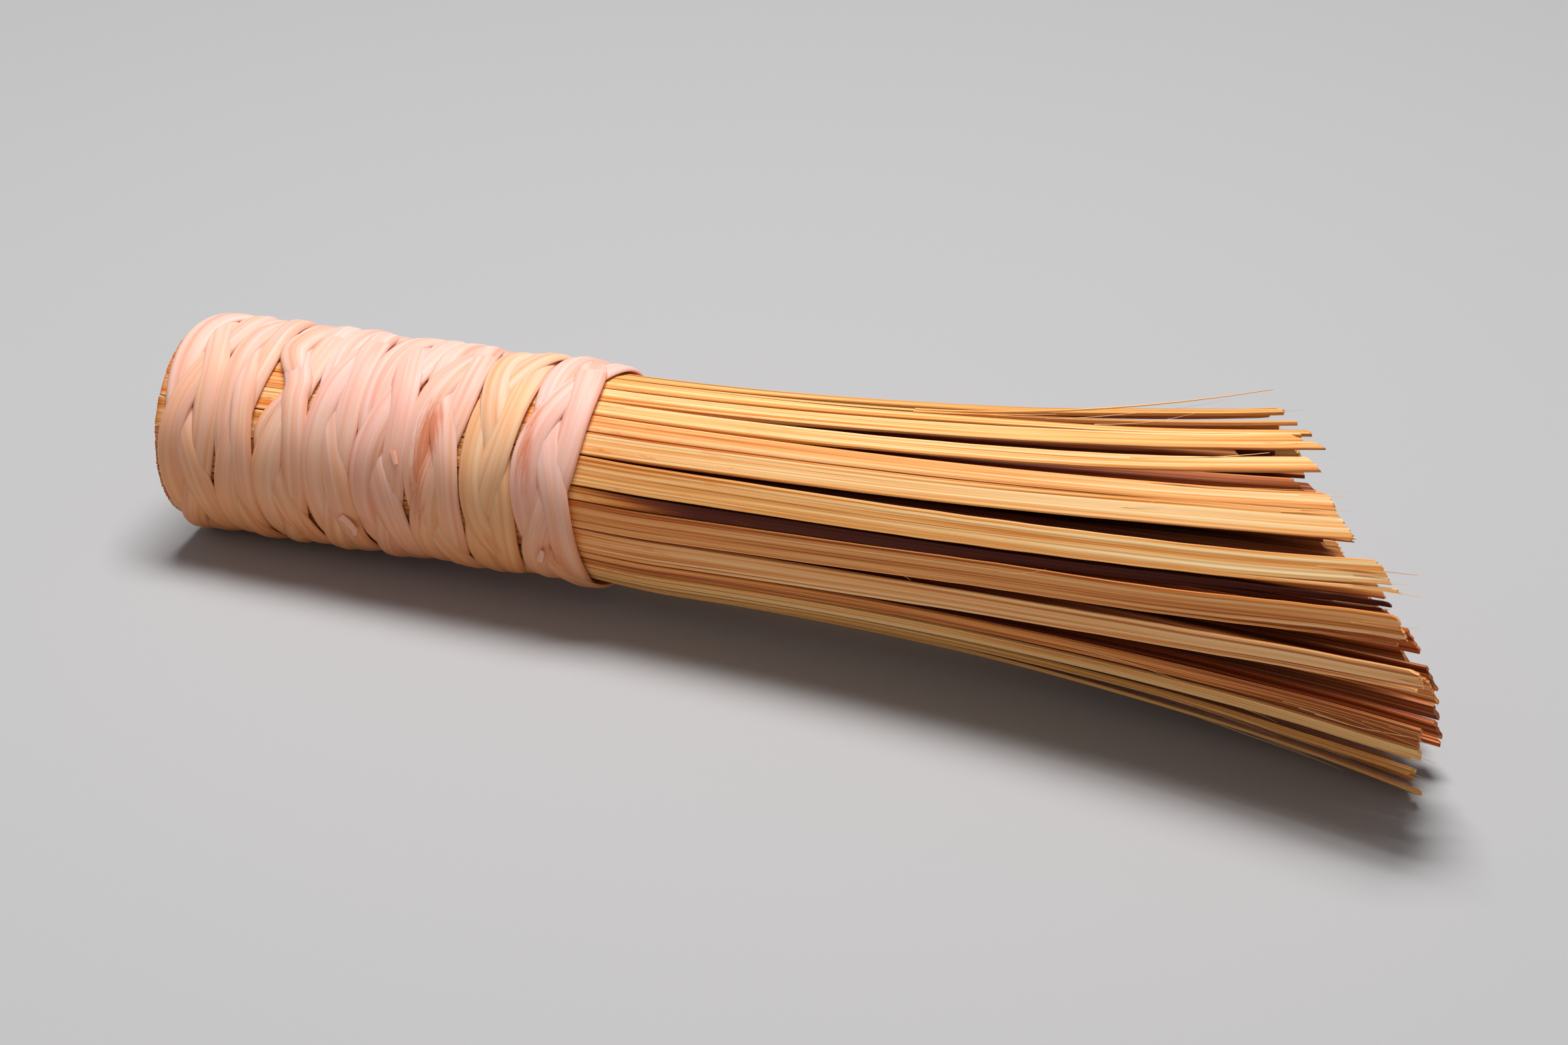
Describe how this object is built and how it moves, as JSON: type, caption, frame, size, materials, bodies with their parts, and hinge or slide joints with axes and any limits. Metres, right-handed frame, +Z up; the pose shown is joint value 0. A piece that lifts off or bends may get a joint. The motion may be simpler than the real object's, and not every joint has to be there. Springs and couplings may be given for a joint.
{
  "type": "bamboo wok brush",
  "caption": "Scrubbing brush of flat split bamboo splints, lashed into a round grip with rattan bands and splayed to a slanting cut at the free end.",
  "frame": {"origin": "centre of the sawn butt face of the grip", "axes": "+X level, from the butt towards the tips; +Z up, the brush lying on its side as it rests on a table, so the brush's own axis climbs 3.05 degrees towards the tips; the long side of the slanting cut is towards -Y"},
  "size_m": [0.2598, 0.0657, 0.0631],
  "materials": {
    "splint_skin": "satin",
    "splint_inner": "satin",
    "splint_core": "satin",
    "wedge": "satin",
    "binding_peach": "satin",
    "binding_straw": "satin"
  },
  "bodies": {
    "grip": {"outer_splint_roots": "splint_skin", "second_splint_01": "splint_inner", "second_splint_02": "splint_inner", "second_splint_03": "splint_inner", "second_splint_04": "splint_inner", "second_splint_05": "splint_inner", "second_splint_06": "splint_inner", "second_splint_07": "splint_inner", "second_splint_08": "splint_inner", "second_splint_09": "splint_inner", "second_splint_10": "splint_inner", "second_splint_11": "splint_inner", "second_splint_12": "splint_inner", "second_splint_13": "splint_inner", "second_splint_14": "splint_inner", "second_splint_15": "splint_inner", "second_splint_16": "splint_inner", "second_splint_17": "splint_inner", "second_splint_18": "splint_inner", "second_splint_19": "splint_inner", "second_splint_20": "splint_inner", "inner_splints_layer_3": "splint_core", "inner_splints_layer_4": "splint_core", "inner_splints_layer_5": "splint_core", "inner_splints_layer_6": "splint_core", "inner_splints_layer_7": "splint_core", "core_wedge": "wedge", "binding_band_1": "binding_peach", "binding_band_2": "binding_peach", "binding_band_3": "binding_peach", "binding_band_4": "binding_peach", "binding_band_5": "binding_peach", "binding_band_6": "binding_peach", "binding_band_7": "binding_straw", "binding_band_8": "binding_peach"},
    "splint_01": {"outer_splint_01": "splint_skin"},
    "splint_02": {"outer_splint_02": "splint_skin"},
    "splint_03": {"outer_splint_03": "splint_skin"},
    "splint_04": {"outer_splint_04": "splint_skin"},
    "splint_05": {"outer_splint_05": "splint_skin"},
    "splint_06": {"outer_splint_06": "splint_skin"},
    "splint_07": {"outer_splint_07": "splint_skin"},
    "splint_08": {"outer_splint_08": "splint_skin"},
    "splint_09": {"outer_splint_09": "splint_skin"},
    "splint_10": {"outer_splint_10": "splint_skin"},
    "splint_11": {"outer_splint_11": "splint_skin"},
    "splint_12": {"outer_splint_12": "splint_skin"},
    "splint_13": {"outer_splint_13": "splint_skin"},
    "splint_14": {"outer_splint_14": "splint_skin"},
    "splint_15": {"outer_splint_15": "splint_skin"},
    "splint_16": {"outer_splint_16": "splint_skin"},
    "splint_17": {"outer_splint_17": "splint_skin"},
    "splint_18": {"outer_splint_18": "splint_skin"},
    "splint_19": {"outer_splint_19": "splint_skin"},
    "splint_20": {"outer_splint_20": "splint_skin"},
    "splint_21": {"outer_splint_21": "splint_skin"},
    "splint_22": {"outer_splint_22": "splint_skin"},
    "splint_23": {"outer_splint_23": "splint_skin"}
  },
  "joints": [
    {"name": "bend_01", "type": "hinge", "parent": "grip", "child": "splint_01", "pos_m": [0.08889, 0.00016, 0.02316], "axis": [-0.0005, -1, 0.0087], "range_deg": [-0.3, 14], "stiffness_Nm_per_rad": 0.355},
    {"name": "bend_02", "type": "hinge", "parent": "grip", "child": "splint_02", "pos_m": [0.08891, -0.00377, 0.02277], "axis": [0.0109, -0.9788, -0.2045], "range_deg": [-0.3, 14], "stiffness_Nm_per_rad": 0.293},
    {"name": "bend_03", "type": "hinge", "parent": "grip", "child": "splint_03", "pos_m": [0.08897, -0.00714, 0.02172], "axis": [0.0206, -0.9216, -0.3876], "range_deg": [-0.3, 14], "stiffness_Nm_per_rad": 0.27},
    {"name": "bend_04", "type": "hinge", "parent": "grip", "child": "splint_04", "pos_m": [0.08906, -0.01017, 0.0201], "axis": [0.0294, -0.8334, -0.5518], "range_deg": [-0.3, 14], "stiffness_Nm_per_rad": 0.26},
    {"name": "bend_05", "type": "hinge", "parent": "grip", "child": "splint_05", "pos_m": [0.08919, -0.0132, 0.01758], "axis": [0.0382, -0.6964, -0.7166], "range_deg": [-0.3, 14], "stiffness_Nm_per_rad": 0.336},
    {"name": "bend_06", "type": "hinge", "parent": "grip", "child": "splint_06", "pos_m": [0.08941, -0.01618, 0.01354], "axis": [0.0468, -0.4765, -0.8779], "range_deg": [-0.3, 14], "stiffness_Nm_per_rad": 0.402},
    {"name": "bend_07", "type": "hinge", "parent": "grip", "child": "splint_07", "pos_m": [0.08961, -0.0177, 0.0098], "axis": [0.0512, -0.2729, -0.9607], "range_deg": [-0.3, 14], "stiffness_Nm_per_rad": 0.169},
    {"name": "bend_08", "type": "hinge", "parent": "grip", "child": "splint_08", "pos_m": [0.08981, -0.01836, 0.00597], "axis": [0.0531, -0.0645, -0.9965], "range_deg": [-0.3, 14], "stiffness_Nm_per_rad": 0.368},
    {"name": "bend_09", "type": "hinge", "parent": "grip", "child": "splint_09", "pos_m": [0.09009, -0.01794, 0.00072], "axis": [0.0519, 0.2213, -0.9738], "range_deg": [-0.3, 14], "stiffness_Nm_per_rad": 0.359},
    {"name": "bend_10", "type": "hinge", "parent": "grip", "child": "splint_10", "pos_m": [0.0903, -0.01657, -0.00319], "axis": [0.0479, 0.4342, -0.8995], "range_deg": [-0.3, 14], "stiffness_Nm_per_rad": 0.199},
    {"name": "bend_11", "type": "hinge", "parent": "grip", "child": "splint_11", "pos_m": [0.09045, -0.01486, -0.00605], "axis": [0.043, 0.5894, -0.8067], "range_deg": [-0.3, 14], "stiffness_Nm_per_rad": 0.244},
    {"name": "bend_12", "type": "hinge", "parent": "grip", "child": "splint_12", "pos_m": [0.09061, -0.01217, -0.00899], "axis": [0.0352, 0.75, -0.6605], "range_deg": [-0.3, 14], "stiffness_Nm_per_rad": 0.302},
    {"name": "bend_13", "type": "hinge", "parent": "grip", "child": "splint_13", "pos_m": [0.09076, -0.00776, -0.01188], "axis": [0.0224, 0.9068, -0.4209], "range_deg": [-0.3, 14], "stiffness_Nm_per_rad": 0.443},
    {"name": "bend_14", "type": "hinge", "parent": "grip", "child": "splint_14", "pos_m": [0.09084, -0.00199, -0.01348], "axis": [0.0058, 0.9941, -0.1081], "range_deg": [-0.3, 14], "stiffness_Nm_per_rad": 0.423},
    {"name": "bend_15", "type": "hinge", "parent": "grip", "child": "splint_15", "pos_m": [0.09083, 0.00403, -0.01314], "axis": [-0.0117, 0.9757, 0.2189], "range_deg": [-0.3, 14], "stiffness_Nm_per_rad": 0.474},
    {"name": "bend_16", "type": "hinge", "parent": "grip", "child": "splint_16", "pos_m": [0.0907, 0.00971, -0.01082], "axis": [-0.0281, 0.8494, 0.527], "range_deg": [-0.3, 14], "stiffness_Nm_per_rad": 0.459},
    {"name": "bend_17", "type": "hinge", "parent": "grip", "child": "splint_17", "pos_m": [0.09049, 0.01428, -0.00681], "axis": [-0.0413, 0.6309, 0.7748], "range_deg": [-0.3, 14], "stiffness_Nm_per_rad": 0.509},
    {"name": "bend_18", "type": "hinge", "parent": "grip", "child": "splint_18", "pos_m": [0.09021, 0.01725, -0.00162], "axis": [-0.0498, 0.3485, 0.936], "range_deg": [-0.3, 14], "stiffness_Nm_per_rad": 0.493},
    {"name": "bend_19", "type": "hinge", "parent": "grip", "child": "splint_19", "pos_m": [0.0899, 0.01839, 0.0043], "axis": [-0.0532, 0.0266, 0.9982], "range_deg": [-0.3, 14], "stiffness_Nm_per_rad": 0.562},
    {"name": "bend_20", "type": "hinge", "parent": "grip", "child": "splint_20", "pos_m": [0.08958, 0.01756, 0.01026], "axis": [-0.0508, -0.2982, 0.9531], "range_deg": [-0.3, 14], "stiffness_Nm_per_rad": 0.527},
    {"name": "bend_21", "type": "hinge", "parent": "grip", "child": "splint_21", "pos_m": [0.0893, 0.0149, 0.01556], "axis": [-0.0431, -0.5865, 0.8088], "range_deg": [-0.3, 14], "stiffness_Nm_per_rad": 0.567},
    {"name": "bend_22", "type": "hinge", "parent": "grip", "child": "splint_22", "pos_m": [0.08908, 0.01065, 0.01977], "axis": [-0.0308, -0.8154, 0.5781], "range_deg": [-0.3, 14], "stiffness_Nm_per_rad": 0.545},
    {"name": "bend_23", "type": "hinge", "parent": "grip", "child": "splint_23", "pos_m": [0.08894, 0.00528, 0.02239], "axis": [-0.0152, -0.958, 0.2863], "range_deg": [-0.3, 14], "stiffness_Nm_per_rad": 0.543}
  ]
}
